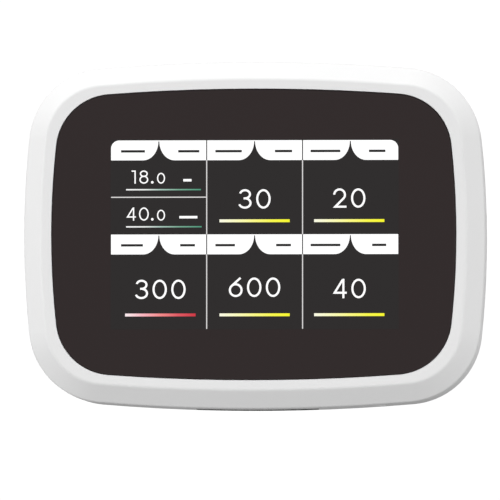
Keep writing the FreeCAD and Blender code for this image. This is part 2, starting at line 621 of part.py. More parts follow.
def power_module():
    """Encapsulated mains supply."""
    back_y = BOARD_BACK_Y + 15
    brick = round_slab(POWER_MODULE, BOARD_BACK_Y, back_y, 1.0)
    return brick.makeFillet(0.6, edges_at(brick, back_y))


def terminal_block():
    """Two-pole mains terminal that the wall box's wires go into, with its screws facing back."""
    body = slab(TERMINAL_BLOCK, BOARD_BACK_Y, TERMINAL_BACK_Y)
    for x in TERMINAL_XS:
        body = body.cut(rod_y(x, TERMINAL_Z, TERMINAL_WELL_R, TERMINAL_BACK_Y - TERMINAL_WELL_D,
                              TERMINAL_BACK_Y + 1))
        body = body.cut(block(x - 1.6, x + 1.6, BOARD_BACK_Y + 3, BOARD_BACK_Y + 6.5, 3, 9))
    return body


def terminal_screws():
    head_r, shank_r = 1.8, 1.1
    head_y0, head_y1 = TERMINAL_BACK_Y - 3, TERMINAL_BACK_Y - 1.4
    tip_y = TERMINAL_BACK_Y - TERMINAL_WELL_D + 0.1
    return Part.makeCompound([screw(x, TERMINAL_Z, head_r, head_y0, head_y1, shank_r, tip_y)
                              for x in TERMINAL_XS])


def sensor_headers():
    """Pin header strips that carry the sensor modules on the board."""
    strips = [slab(PM_HEADER, BOARD_BACK_Y, PM_Y0)]
    strips += [slab(strip, BOARD_BACK_Y, MODULE_Y0) for strip in MODULE_HEADERS]
    return Part.makeCompound(strips)


# ---- laser particle sensor ------------------------------------------------------------------
def pm_base():
    """Tray of the particle sensor, with the fan's well and the air inlet in its lower wall."""
    lid_y = PM_Y1 - PM_LID_T
    tray = round_block(-PM_HALF_W, PM_HALF_W, PM_Y0, lid_y, PM_Z0, PM_Z1, PM_ROUND)
    hollow = round_block(-PM_HALF_W + PM_WALL, PM_HALF_W - PM_WALL, PM_FLOOR_Y, PM_Y1,
                         PM_Z0 + PM_WALL, PM_Z1 - PM_WALL, 0.8)
    well_inner_r = FAN_R + FAN_WELL_GAP
    well_wall = tube_y(FAN_X, FAN_Z, well_inner_r + FAN_WELL_T, well_inner_r, PM_FLOOR_Y, lid_y)
    mouth = block(FAN_X - 6, FAN_X + 6, PM_FLOOR_Y, PM_Y1, FAN_Z - FAN_R - 3, FAN_Z)
    well_wall = well_wall.cut(mouth)
    inlet = block(-9, 9, PM_FLOOR_Y + 2, lid_y - 1.5, PM_Z0 - 1, PM_Z0 + PM_WALL + 0.1)
    base = joined([tray.cut(hollow), well_wall.common(tray)])
    return base.cut(inlet).cut(rod_y(FAN_X, FAN_Z, PIN_R, PM_Y0 - 1, PM_FLOOR_Y + 1))


def pm_lid():
    lid = round_block(-PM_HALF_W, PM_HALF_W, PM_Y1 - PM_LID_T, PM_Y1, PM_Z0, PM_Z1, PM_ROUND)
    slots = []
    for step in range(-3, 4):
        across = LID_SLOT_PITCH * step
        half = math.sqrt(LID_SLOT_REACH ** 2 - across ** 2)
        x = FAN_X + across
        slots.append(block(x - LID_SLOT_HALF_W, x + LID_SLOT_HALF_W, PM_Y1 - 2, PM_Y1 + 1,
                           FAN_Z - half, FAN_Z + half))
    return lid.cut(Part.makeCompound(slots))


def pm_fan_pin():
    """Shaft that the fan turns on, pressed into the tray."""
    return rod_y(FAN_X, FAN_Z, PIN_R, PM_Y0, FAN_Y1 + 0.4)


def pm_fan_rotor():
    hub = rod_y(FAN_X, FAN_Z, FAN_HUB_R, FAN_Y0, FAN_Y1)
    disc = rod_y(FAN_X, FAN_Z, FAN_R, FAN_Y0, FAN_Y0 + FAN_DISC_T)
    blades = []
    for n in range(FAN_BLADES):
        blade = block(FAN_X + FAN_HUB_R - 0.6, FAN_X + FAN_R - 0.3, FAN_Y0, FAN_Y1,
                      FAN_Z - FAN_BLADE_T / 2, FAN_Z + FAN_BLADE_T / 2)
        blade.rotate(V(FAN_X, 0, FAN_Z), V(0, 1, 0), 360.0 * n / FAN_BLADES)
        blades.append(blade)
    rotor = joined([hub, disc] + blades)
    return rotor.cut(rod_y(FAN_X, FAN_Z, PIN_R + PIN_CLEARANCE, FAN_Y0 - 1, FAN_Y1 + 1))


def pm_laser():
    """Laser diode module beside the air path."""
    tip_z0, barrel_z0, barrel_z1 = -33.0, -30.0, -20.0
    return joined([rod_z(LASER_X, LASER_Y, LASER_R, barrel_z0, barrel_z1),
                   rod_z(LASER_X, LASER_Y, LASER_TIP_R, tip_z0, barrel_z0)])


def pm_sensor_board():
    """Photodiode and amplifier board along the sensor's left wall."""
    return block(-17.4, -9.5, PM_FLOOR_Y, PM_FLOOR_Y + 1.0, -18.5, -5.0)


def pm_gasket():
    """Foam duct between the inlet grille and the particle sensor."""
    inner_half_w = GASKET_HALF_W - GASKET_WALL
    low_z = INLET_MESH_Z + MESH_T
    duct = block(-GASKET_HALF_W, GASKET_HALF_W, GASKET_Y0, GASKET_Y1, low_z, PM_Z0)
    return duct.cut(block(-inner_half_w, inner_half_w, GASKET_Y0 + GASKET_WALL,
                          GASKET_Y1 - GASKET_WALL, low_z - 1, PM_Z0 + 1))


# ---- gas, temperature and humidity sensors ---------------------------------------------------
def co2_board():
    return slab(CO2_BOARD, MODULE_Y0, MODULE_Y0 + 1.0)


def co2_chamber():
    """Infrared absorption chamber with two air windows in its back."""
    y0 = MODULE_Y0 + 1.0
    chamber = round_slab(CO2_CHAMBER, y0, y0 + 7.0, 2.0)
    chamber = chamber.makeFillet(0.8, edges_at(chamber, y0 + 7.0))
    for x in CO2_WINDOWS:
        chamber = chamber.cut(round_block(x - CO2_WINDOW_HALF_W, x + CO2_WINDOW_HALF_W, y0 + 6.0, y0 + 8,
                                          CO2_WINDOW_Z0, CO2_WINDOW_Z1, 1.0))
    return chamber


def co2_membranes():
    y0 = MODULE_Y0 + 7.0
    gap = 0.1
    half_w = CO2_WINDOW_HALF_W - gap
    return Part.makeCompound([round_block(x - half_w, x + half_w, y0, y0 + 0.4,
                                          CO2_WINDOW_Z0 + gap, CO2_WINDOW_Z1 - gap, 0.9)
                              for x in CO2_WINDOWS])


def hcho_board():
    return slab(HCHO_BOARD, MODULE_Y0, MODULE_Y0 + 1.2)


def hcho_cell():
    """Electrochemical cell: a round cup with a stepped cap and a central air hole."""
    y0 = MODULE_Y0 + 1.2
    cup = rod_y(HCHO_X, HCHO_Z, HCHO_R, y0, y0 + 7.5)
    cap = rod_y(HCHO_X, HCHO_Z, HCHO_R - 1.2, y0 + 7.5, y0 + 9.5)
    cap = cap.makeFillet(0.6, edges_at(cap, y0 + 9.5))
    return joined([cup, cap]).cut(rod_y(HCHO_X, HCHO_Z, 1.6, y0 + 8.2, y0 + 11))


def voc_board():
    return slab(VOC_BOARD, MODULE_Y0, MODULE_Y0 + 1.0)


def voc_can():
    """Metal can of the gas sensor, with a recessed opening."""
    y0 = MODULE_Y0 + 1.0
    can = rod_y(VOC_X, VOC_Z, VOC_R, y0, y0 + 4.4)
    can = can.makeFillet(0.6, edges_at(can, y0 + 4.4))
    return can.cut(rod_y(VOC_X, VOC_Z, VOC_R - 2.0, y0 + 3.9, y0 + 5))


def climate_board():
    """Temperature and humidity board, low in the casing and away from the supply."""
    return slab(CLIMATE_BOARD, MODULE_Y0, MODULE_Y0 + 0.8)


def climate_chip():
    y0 = MODULE_Y0 + 0.8
    x0, x1, z0, z1 = CLIMATE_CHIP
    chip = slab(CLIMATE_CHIP, y0, y0 + 1.0)
    return chip.cut(rod_y((x0 + x1) / 2, (z0 + z1) / 2, 0.6, y0 + 0.6, y0 + 2))


# ---- reset button ---------------------------------------------------------------------------
def reset_button():
    """Round cap in the underside with a flange inside and an arm that reaches the switch."""
    flange_top_z = BUTTON_FLANGE_Z + BUTTON_FLANGE_T
    cap = rod_z(BUTTON_X, BUTTON_Y, BUTTON_R, BUTTON_TIP_Z, BUTTON_FLANGE_Z)
    tip = [e for e in cap.Edges if abs(e.BoundBox.ZMax - BUTTON_TIP_Z) < 1e-4]
    cap = cap.makeFillet(0.5, tip)
    flange = rod_z(BUTTON_X, BUTTON_Y, BUTTON_R + BUTTON_FLANGE_W, BUTTON_FLANGE_Z, flange_top_z)
    arm = block(BUTTON_X - BUTTON_ARM_HALF_W, BUTTON_X + BUTTON_ARM_HALF_W, SWITCH_Y - 1.6,
                BUTTON_Y, BUTTON_FLANGE_Z, flange_top_z)
    return joined([cap, flange, arm])


def reset_plunger():
    return rod_z(BUTTON_X, SWITCH_Y, PLUNGER_R, BUTTON_FLANGE_Z + BUTTON_FLANGE_T,
                 SWITCH_Z0 + SWITCH_BORE)


def reset_switch():
    body = block(BUTTON_X - SWITCH_HALF_W, BUTTON_X + SWITCH_HALF_W, BOARD_BACK_Y,
                 BOARD_BACK_Y + SWITCH_T, SWITCH_Z0, SWITCH_Z1)
    return body.cut(rod_z(BUTTON_X, SWITCH_Y, PLUNGER_R + PLUNGER_CLEARANCE, SWITCH_Z0 - 1,
                          SWITCH_Z0 + SWITCH_BORE + BUTTON_TRAVEL + 0.3))


# ---- one STEP per node ------------------------------------------------------------------------
NODES = [wall_plate, rear_cover, front_case, case_screws, bottom_grille, inlet_mesh, rating_label,
         cover_glass, glass_adhesive, lcd_cell, lcd_backlight, lcd_bracket, bracket_screws,
         lcd_ribbon, ribbon_socket, main_board, board_screws, board_chips, board_capacitors,
         wifi_board, wifi_shield, power_module, terminal_block, terminal_screws, sensor_headers,
         pm_base, pm_lid, pm_fan_pin, pm_fan_rotor, pm_laser, pm_sensor_board, pm_gasket,
         co2_board, co2_chamber, co2_membranes, hcho_board, hcho_cell, voc_board, voc_can,
         climate_board, climate_chip, reset_button, reset_plunger, reset_switch]

os.makedirs("parts", exist_ok=True)
for make in NODES:
    shape = make()
    if not shape.isValid() or not shape.Solids:
        raise ValueError(make.__name__ + " is not a valid solid")
    shape.exportStep("parts/" + make.__name__ + ".step")
    print(make.__name__, len(shape.Solids), round(shape.Volume, 1))
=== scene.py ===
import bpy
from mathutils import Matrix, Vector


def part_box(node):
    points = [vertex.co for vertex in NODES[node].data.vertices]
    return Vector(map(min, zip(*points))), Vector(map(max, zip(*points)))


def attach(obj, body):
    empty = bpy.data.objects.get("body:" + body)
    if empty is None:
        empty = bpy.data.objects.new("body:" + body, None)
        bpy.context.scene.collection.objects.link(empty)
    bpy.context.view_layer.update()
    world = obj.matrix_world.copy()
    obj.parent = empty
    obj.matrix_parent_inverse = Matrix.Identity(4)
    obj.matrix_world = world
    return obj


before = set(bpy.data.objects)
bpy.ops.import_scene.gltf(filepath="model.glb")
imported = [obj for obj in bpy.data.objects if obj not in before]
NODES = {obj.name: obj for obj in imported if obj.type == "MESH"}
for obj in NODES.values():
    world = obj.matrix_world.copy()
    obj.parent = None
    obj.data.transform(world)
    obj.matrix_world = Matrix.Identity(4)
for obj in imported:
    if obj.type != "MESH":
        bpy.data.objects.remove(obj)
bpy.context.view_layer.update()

import math

import bmesh
import bpy
from mathutils import Vector, geometry

MM = 0.001

# ---------------------------------------------------------------- camera

CAMERA_LENS = 1200.0
CAMERA_SENSOR = 36.0
CAMERA_CLIP = (0.1, 20.0)
VIEW_WIDTH = 127.5
CAMERA_X = -0.94
CAMERA_Z = -4.00
CAMERA_YAW = 2.5
CAMERA_RISE = -2.5
FRONT_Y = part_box("front_case")[0].y / MM


def make_camera():
    """Nearly straight on to the front, from far away, a little to the right and a little below."""
    data = bpy.data.cameras.new("camera")
    data.lens = CAMERA_LENS
    data.sensor_width = CAMERA_SENSOR
    data.clip_start, data.clip_end = CAMERA_CLIP
    camera = bpy.data.objects.new("camera", data)
    bpy.context.scene.collection.objects.link(camera)
    distance = VIEW_WIDTH * CAMERA_LENS / CAMERA_SENSOR
    yaw = math.radians(CAMERA_YAW)
    rise = math.radians(CAMERA_RISE)
    away = Vector((math.sin(yaw) * math.cos(rise), -math.cos(yaw) * math.cos(rise), math.sin(rise)))
    aim = Vector((CAMERA_X, FRONT_Y, CAMERA_Z))
    camera.location = (aim + distance * away) * MM
    camera.rotation_euler = (math.pi / 2 - rise, 0.0, yaw)
    bpy.context.scene.camera = camera


# ---------------------------------------------------------------- node helpers


def map_range(tree, value, old, new):
    """Maps the range old to the range new, clamped."""
    node = tree.nodes.new("ShaderNodeMapRange")
    node.inputs["From Min"].default_value = old[0]
    node.inputs["From Max"].default_value = old[1]
    node.inputs["To Min"].default_value = new[0]
    node.inputs["To Max"].default_value = new[1]
    tree.links.new(value, node.inputs["Value"])
    return node.outputs["Result"]


def ramp(tree, value, stops):
    """A colour ramp through (position, (r, g, b)) stops."""
    node = tree.nodes.new("ShaderNodeValToRGB")
    elements = node.color_ramp.elements
    while len(elements) < len(stops):
        elements.new(0.5)
    for element, (position, colour) in zip(elements, stops):
        element.position = position
        element.color = (*colour, 1.0)
    tree.links.new(value, node.inputs["Fac"])
    return node.outputs["Color"]


# ---------------------------------------------------------------- light

# height of the direction, brightness
WORLD_LEVELS = (
    (-1.0, 0.44),
    (-0.6, 0.12),
    (-0.2, 0.29),
    (0.2, 0.58),
    (1.0, 0.525),
)
BACKDROP_LEVEL = 1.05


def make_world():
    """Soft surroundings that change only with height. The camera itself sees plain white."""
    world = bpy.data.worlds.new("studio")
    bpy.context.scene.world = world
    world.use_nodes = True
    tree = world.node_tree
    tree.nodes.clear()
    place = tree.nodes.new("ShaderNodeTexCoord")
    split = tree.nodes.new("ShaderNodeSeparateXYZ")
    soft = tree.nodes.new("ShaderNodeBackground")
    plain = tree.nodes.new("ShaderNodeBackground")
    path = tree.nodes.new("ShaderNodeLightPath")
    mix = tree.nodes.new("ShaderNodeMixShader")
    out = tree.nodes.new("ShaderNodeOutputWorld")
    tree.links.new(place.outputs["Generated"], split.inputs["Vector"])
    height = map_range(tree, split.outputs["Z"], (-1.0, 1.0), (0.0, 1.0))
    stops = [((z + 1.0) / 2.0, (level,) * 3) for z, level in WORLD_LEVELS]
    tree.links.new(ramp(tree, height, stops), soft.inputs["Strength"])
    tree.links.new(path.outputs["Is Camera Ray"], mix.inputs["Fac"])
    tree.links.new(soft.outputs["Background"], mix.inputs[1])
    tree.links.new(plain.outputs["Background"], mix.inputs[2])
    tree.links.new(mix.outputs["Shader"], out.inputs["Surface"])
    soft.inputs["Color"].default_value = (1.0, 1.0, 1.0, 1.0)
    plain.inputs["Color"].default_value = (1.0, 1.0, 1.0, 1.0)
    plain.inputs["Strength"].default_value = BACKDROP_LEVEL


LIGHT_WIDTH = 0.9


def softbox(name, at, watts):
    """A square area light that faces the object; neither the camera nor a reflection shows it."""
    data = bpy.data.lights.new(name, "AREA")
    data.shape = "SQUARE"
    data.size = LIGHT_WIDTH
    data.energy = watts
    light = bpy.data.objects.new(name, data)
    bpy.context.scene.collection.objects.link(light)
    light.location = at
    light.rotation_euler = Vector(at).to_track_quat("Z", "Y").to_euler()
    light.visible_camera = False
    light.visible_glossy = False


# name, place in metres, watts
LIGHTS = (
    ("top_light", (-0.10, -0.15, 1.30), 11.1),
    ("left_light", (-1.42, -0.38, 0.15), 8.65),
    ("right_light", (1.42, -0.38, 0.15), 5.6),
    ("low_light", (0.0, -1.40, -0.54), 9.4),
    ("back_light", (0.55, 1.35, 0.10), 5.0),
)


def make_lights():
    for name, at, watts in LIGHTS:
        softbox(name, at, watts)


# ---------------------------------------------------------------- materials


def new_material(name):
    """A material with a Principled shader, its output and object coordinates in metres."""
    material = bpy.data.materials.new(name)
    material.use_nodes = True
    tree = material.node_tree
    tree.nodes.clear()
    shader = tree.nodes.new("ShaderNodeBsdfPrincipled")
    out = tree.nodes.new("ShaderNodeOutputMaterial")
    place = tree.nodes.new("ShaderNodeTexCoord")
    tree.links.new(shader.outputs["BSDF"], out.inputs["Surface"])
    return material, tree, shader, place.outputs["Object"]


def noise(tree, place, scale, detail=2.0, roughness=0.5):
    """Noise with a grain size of about 1 / scale metres."""
    node = tree.nodes.new("ShaderNodeTexNoise")
    node.inputs["Scale"].default_value = scale
    node.inputs["Detail"].default_value = detail
    node.inputs["Roughness"].default_value = roughness
    tree.links.new(place, node.inputs["Vector"])
    return node.outputs["Fac"]


NOISE_SPAN = (0.3, 0.7)         # where noise mostly lies


def span(tree, value, low, high):
    """Maps noise to low..high."""
    return map_range(tree, value, NOISE_SPAN, (low, high))


def bump(tree, shader, height, depth):
    """Relief of that depth in metres."""
    node = tree.nodes.new("ShaderNodeBump")
    node.inputs["Strength"].default_value = 1.0
    node.inputs["Distance"].default_value = depth
    tree.links.new(height, node.inputs["Height"])
    tree.links.new(node.outputs["Normal"], shader.inputs["Normal"])


def shade(colour, factor):
    """The colour made lighter or darker by a factor."""
    return tuple(min(1.0, c * factor) for c in colour)


def drifting(tree, value, colour, vary):
    """A colour that noise makes darker or lighter, by vary of itself at most."""
    low, high = NOISE_SPAN
    return ramp(tree, value, [(low, shade(colour, 1.0 - vary)), (high, shade(colour, 1.0 + vary))])


def upright(tree, place):
    """Coordinates turned so that a flat pattern lies in the plane of the front."""
    turn = tree.nodes.new("ShaderNodeMapping")
    turn.inputs["Rotation"].default_value = (math.pi / 2, 0.0, 0.0)
    tree.links.new(place, turn.inputs["Vector"])
    return turn.outputs["Vector"]


def surface(name, colour, rough, vary=0.05, patch=60.0, grain=2500.0, relief=6e-6, **constants):
    """Moulded, sheet or cast stuff: colour and gloss drift over patches, and a fine relief."""
    material, tree, shader, place = new_material(name)
    drift = noise(tree, place, patch, 3.0)
    tree.links.new(drifting(tree, drift, colour, vary), shader.inputs["Base Color"])
    fine = noise(tree, place, grain, 3.0, 0.6)
    tree.links.new(span(tree, fine, rough[0], rough[1]), shader.inputs["Roughness"])
    bump(tree, shader, fine, relief)
    for socket, value in constants.items():
        shader.inputs[socket.replace("_", " ")].default_value = value
    return material


def circuit_board():
    """Green solder mask with tracks a shade lighter."""
    material, tree, shader, place = new_material("green_board")
    tracks = tree.nodes.new("ShaderNodeTexBrick")
    tracks.inputs["Scale"].default_value = 420.0
    tracks.inputs["Mortar Size"].default_value = 0.06
    tracks.inputs["Mortar Smooth"].default_value = 0.3
    tracks.inputs["Color1"].default_value = (0.006, 0.085, 0.032, 1.0)
    tracks.inputs["Color2"].default_value = (0.008, 0.105, 0.040, 1.0)
    tracks.inputs["Mortar"].default_value = (0.022, 0.185, 0.075, 1.0)
    tree.links.new(upright(tree, place), tracks.inputs["Vector"])
    tree.links.new(tracks.outputs["Color"], shader.inputs["Base Color"])
    weave = noise(tree, place, 1800.0, 2.0)
    tree.links.new(span(tree, weave, 0.28, 0.40), shader.inputs["Roughness"])
    bump(tree, shader, tracks.outputs["Fac"], 1.2e-5)
    return material


def woven_mesh():
    """Fine dust mesh: crossed wires."""
    material, tree, shader, place = new_material("screen_mesh")
    wires = tree.nodes.new("ShaderNodeTexBrick")
    wires.offset = 0.0
    wires.inputs["Scale"].default_value = 1600.0
    wires.inputs["Brick Width"].default_value = 0.5
    wires.inputs["Row Height"].default_value = 0.5
    wires.inputs["Mortar Size"].default_value = 0.14
    wires.inputs["Color1"].default_value = (0.010, 0.010, 0.011, 1.0)
    wires.inputs["Color2"].default_value = (0.014, 0.014, 0.015, 1.0)
    wires.inputs["Mortar"].default_value = (0.10, 0.10, 0.105, 1.0)
    tree.links.new(place, wires.inputs["Vector"])
    tree.links.new(wires.outputs["Color"], shader.inputs["Base Color"])
    shader.inputs["Roughness"].default_value = 0.55
    bump(tree, shader, wires.outputs["Fac"], 3e-5)
    return material


GLASS_TONE = (0.0160, 0.0083, 0.0083)


def printed_glass():
    """Glass with black print behind it: deep, glossy, with faint wipe marks."""
    material, tree, shader, place = new_material("printed_glass")
    drift = noise(tree, place, 25.0, 4.0)
    tree.links.new(drifting(tree, drift, GLASS_TONE, 0.03), shader.inputs["Base Color"])
    smear = noise(tree, place, 90.0, 5.0, 0.65)
    tree.links.new(span(tree, smear, 0.035, 0.075), shader.inputs["Roughness"])
    shader.inputs["IOR"].default_value = 1.5
    return material


PICTURE_PITCH = 0.153 * MM


def lit(name, stops, gain=1.0):
    """The display's own light, through a fine grid of picture elements.

    One stop gives a plain colour; several run along the piece from its left to its right."""
    material, tree, shader, place = new_material(name)
    shader.inputs["Base Color"].default_value = (0.004, 0.004, 0.004, 1.0)
    shader.inputs["Roughness"].default_value = 0.06
    shader.inputs["IOR"].default_value = 1.5
    grid = tree.nodes.new("ShaderNodeTexBrick")
    grid.offset = 0.0
    grid.inputs["Scale"].default_value = 1.0 / PICTURE_PITCH
    grid.inputs["Brick Width"].default_value = 1.0
    grid.inputs["Row Height"].default_value = 1.0
    grid.inputs["Mortar Size"].default_value = 0.05
    grid.inputs["Color1"].default_value = (1.0, 1.0, 1.0, 1.0)
    grid.inputs["Color2"].default_value = (0.985, 0.985, 0.985, 1.0)
    grid.inputs["Mortar"].default_value = (0.80, 0.80, 0.80, 1.0)
    tree.links.new(upright(tree, place), grid.inputs["Vector"])
    tint = tree.nodes.new("ShaderNodeMix")
    tint.data_type = "RGBA"
    tint.blend_type = "MULTIPLY"
    tint.inputs["Factor"].default_value = 1.0
    if len(stops) > 1:
        whole = tree.nodes.new("ShaderNodeTexCoord")
        split = tree.nodes.new("ShaderNodeSeparateXYZ")
        tree.links.new(whole.outputs["Generated"], split.inputs["Vector"])
        tree.links.new(ramp(tree, split.outputs["X"], stops), tint.inputs["A"])
    else:
        tint.inputs["A"].default_value = (*stops[0][1], 1.0)
    tree.links.new(grid.outputs["Color"], tint.inputs["B"])
    tree.links.new(tint.outputs["Result"], shader.inputs["Emission Color"])
    shader.inputs["Emission Strength"].default_value = gain
    return material


WHITE = (0.80, 0.80, 0.80)
SCREEN_BLACK = (0.0085, 0.0060, 0.0060)
SCREEN_WHITE = (1.0, 1.0, 1.0)
SCREEN_WHITE_GAIN = 1.12
SCREEN_PALE = (0.74, 0.72, 0.72)
SCREEN_DARK = (0.006, 0.005, 0.005)


def make_materials():
    """One material for each material slot of the record."""
    return {
        "white_abs": surface("white_abs", WHITE, (0.36, 0.50), 0.008, 40.0, 3200.0, 9e-6),
        "button_white": surface("button_white", shade(WHITE, 0.97), (0.38, 0.50), 0.01),
        "printed_glass": printed_glass(),
        "screen": lit("screen", [(0.0, SCREEN_BLACK)]),
        "adhesive_black": surface("adhesive_black", (0.012, 0.012, 0.013), (0.55, 0.75), 0.1),
        "grille_black": surface(
            "grille_black", (0.020, 0.020, 0.021), (0.42, 0.58), 0.10, 80.0, 3000.0, 1.2e-5
        ),
        "screen_mesh": woven_mesh(),
        "foil_label": surface(
            "foil_label", (0.72, 0.73, 0.74), (0.30, 0.42), 0.02, 900.0, 2600.0, 3e-6, Metallic=0.65
        ),
        "zinc_steel": surface(
            "zinc_steel", (0.62, 0.62, 0.60), (0.24, 0.40), 0.10, 500.0, 2600.0, 6e-6, Metallic=1.0
        ),
        "sheet_steel": surface(
            "sheet_steel", (0.58, 0.59, 0.60), (0.26, 0.38), 0.06, 200.0, 1500.0, 4e-6, Metallic=1.0
        ),
        "amber_flex": surface("amber_flex", (0.46, 0.19, 0.035), (0.25, 0.36), 0.10, 300.0),
        "green_board": circuit_board(),
        "black_parts": surface("black_parts", (0.016, 0.016, 0.017), (0.38, 0.55), 0.15, 400.0),
        "natural_nylon": surface("natural_nylon", (0.66, 0.63, 0.54), (0.38, 0.52), 0.04, 200.0),
        "green_terminal": surface("green_terminal", (0.045, 0.27, 0.09), (0.34, 0.48), 0.06, 200.0),
        "sensor_blue": surface("sensor_blue", (0.035, 0.10, 0.26), (0.36, 0.52), 0.06, 200.0),
        "fan_black": surface("fan_black", (0.018, 0.018, 0.019), (0.40, 0.55), 0.12, 200.0),
        "laser_brass": surface(
            "laser_brass", (0.66, 0.46, 0.18), (0.22, 0.36), 0.08, 400.0, 2200.0, 4e-6, Metallic=1.0
        ),
        "foam": surface("foam", (0.045, 0.045, 0.048), (0.85, 0.98), 0.35, 1500.0, 2400.0, 1.2e-4),
        "gold_chamber": surface(
            "gold_chamber", (0.83, 0.60, 0.24), (0.18, 0.30), 0.05, 300.0, 1800.0, 4e-6, Metallic=1.0
        ),
        "membrane_white": surface(
            "membrane_white", (0.78, 0.78, 0.76), (0.70, 0.90), 0.05, 900.0, 3800.0, 3e-5
        ),
        "cell_grey": surface("cell_grey", (0.30, 0.31, 0.32), (0.40, 0.55), 0.06, 300.0),
    }


def finish_nodes(materials):
    """Every CAD node takes the material that its slot names."""
    for node in NODES.values():
        for place in node.material_slots:
            place.material = materials[place.material.name.split(".")[0]]


# ---------------------------------------------------------------- flat shapes of the picture

GLASS_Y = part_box("cover_glass")[0].y / MM
PICTURE_AT = (0.22, 0.14)       # the origin of the picture's own coordinates
SUNK = 0.06                     # how deep a plate reaches into the glass
QUARTER_STEPS = 14
SAME_POINT = 1e-3
MERGE = 1e-5
SHARPEST_MITRE = 0.35


def inside(x, z, face):
    """Whether a point lies inside a flat outline."""
    odd = False
    for (x0, z0), (x1, z1) in zip(face, face[1:] + face[:1]):
        if (z0 > z) != (z1 > z) and x < x0 + (z - z0) / (z1 - z0) * (x1 - x0):
            odd = not odd
    return odd


def plate(name, faces, proud, material):
    """A thin closed plate on the glass: the union of flat faces in mm, seen from the front."""
    corners = []
    rings = []
    for face in faces:
        rings.append(list(range(len(corners), len(corners) + len(face))))
        corners += [Vector(corner) for corner in face]
    points, _, cells, _, _, _ = geometry.delaunay_2d_cdt(corners, [], rings, 1, MERGE)
    shape = bmesh.new()
    front = GLASS_Y - proud
    at_x, at_z = PICTURE_AT
    verts = [shape.verts.new(Vector((at_x + p.x, front, at_z + p.y)) * MM) for p in points]
    for cell in cells:
        x = sum(points[i].x for i in cell) / len(cell)
        z = sum(points[i].y for i in cell) / len(cell)
        if any(inside(x, z, face) for face in faces):
            shape.faces.new([verts[i] for i in cell])
    loose = [v for v in shape.verts if not v.link_faces]
    bmesh.ops.delete(shape, geom=loose, context="VERTS")
    grown = bmesh.ops.extrude_face_region(shape, geom=shape.faces[:])["geom"]
    back = Vector((0.0, (proud + SUNK) * MM, 0.0))
    bmesh.ops.translate(shape, vec=back, verts=[g for g in grown if isinstance(g, bmesh.types.BMVert)])
    bmesh.ops.recalc_face_normals(shape, faces=shape.faces[:])
    mesh = bpy.data.meshes.new(name)
    shape.to_mesh(mesh)
    shape.free()
    mesh.materials.append(material)
    piece = bpy.data.objects.new(name, mesh)
    bpy.context.scene.collection.objects.link(piece)
    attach(piece, "monitor")


def bar(x0, x1, z0, z1):
    """A rectangle."""
    return [(x0, z0), (x1, z0), (x1, z1), (x0, z1)]


def arc(cx, cz, rx, rz, start, end):
    """Points of an elliptical arc, from one angle in degrees to another."""
    count = max(3, round(abs(end - start) / 90 * QUARTER_STEPS))
    angles = [math.radians(start + (end - start) * i / count) for i in range(count + 1)]
    return [(cx + rx * math.cos(a), cz + rz * math.sin(a)) for a in angles]


def ribbon(points, half):
    """Quads of a stroke of constant width along a line, with square ends and mitred corners."""
    line = [Vector(p) for p in points]
    closed = (line[0] - line[-1]).length < SAME_POINT
    if closed:
        line = line[:-1]
    count = len(line)
    sides = []
    for i, here in enumerate(line):
        before = line[i - 1] if closed or i else None
        after = line[(i + 1) % count] if closed or i < count - 1 else None
        come = (here - before).normalized() if before else (after - here).normalized()
        go = (after - here).normalized() if after else come
        across = Vector((-(come.y + go.y), come.x + go.x)).normalized()
        reach = half / max(SHARPEST_MITRE, across.dot(Vector((-come.y, come.x))))
        sides.append((here + across * reach, here - across * reach))
    quads = []
    for i in range(count if closed else count - 1):
        (a, b), (c, d) = sides[i], sides[(i + 1) % count]
        quads.append([tuple(b), tuple(d), tuple(c), tuple(a)])
    return quads


# ---------------------------------------------------------------- figures

DOT_R = 0.098


def line_faces(line, half, height):
    """Faces of a stroke along a line, or of a round dot where the line is a single point."""
    if len(line) > 1:
        return ribbon(line, half)
    x, z = line[0]
    return [arc(x, z, DOT_R * height, DOT_R * height, 0, 360)[:-1]]


def tangent(cx, cz, radius, px, pz):
    """Where a line from (px, pz) touches the left of a circle."""
    away = Vector((px - cx, pz - cz))
    swing = math.acos(radius / away.length)
    angle = math.atan2(away.y, away.x) + swing
    return (cx + radius * math.cos(angle), cz + radius * math.sin(angle))


def strokes(char, h):
    """Lines of a figure 1 high; h is half the stroke's width."""
    t = 1 - h
    six_r = 0.353 - h
    middle = 0.53
    marks = {
        "0": [arc(0.37, 0.5, 0.37 - h, 0.5 - h, 90, 450)],
        "1": [[(0, t), (0.315 - h, t), (0.315 - h, 0)]],
        "2": [arc(0.335, 0.67, 0.33 - h, 0.33 - h, 178, -38) + [(0.045 + 1.3 * h, h), (0.69, h)]],
        "3": [
            arc(0.335, (t + middle) / 2, 0.305 - h, (t - middle) / 2, 168, -90) + [(0.26, middle)],
            [(0.26, middle)] + arc(0.325, (middle + h) / 2, 0.345 - h, (middle - h) / 2, 90, -163),
        ],
        "4": [
            [(0.60 - h, 0), (0.60 - h, 1)],
            [(0.56 - h, 1 - h), (1.9 * h, 0.23 + h), (0.72, 0.23 + h)],
        ],
        "6": [
            arc(0.353, 0.353, six_r, six_r, 90, 450),
            [(0.600, 1 - 0.3 * h), tangent(0.353, 0.353, six_r, 0.600, 1 - 0.3 * h)],
        ],
        "8": [
            arc(0.335, t - 0.1975, 0.30 - h, 0.1975, 90, 450),
            arc(0.335, h + (t - 0.395 - h) / 2, 0.335 - h, (t - 0.395 - h) / 2, 90, 450),
        ],
        ".": [[(0.100, 0.100)]],
    }
    return marks[char]


def figure(char, at, height, stroke):
    """Faces of one figure in mm; at is the left end of its baseline."""
    faces = []
    for line in strokes(char, stroke / 2 / height):
        placed = [(at[0] + px * height, at[1] + pz * height) for px, pz in line]
        faces += line_faces(placed, stroke / 2, height)
    return faces


# ---------------------------------------------------------------- the picture on the display

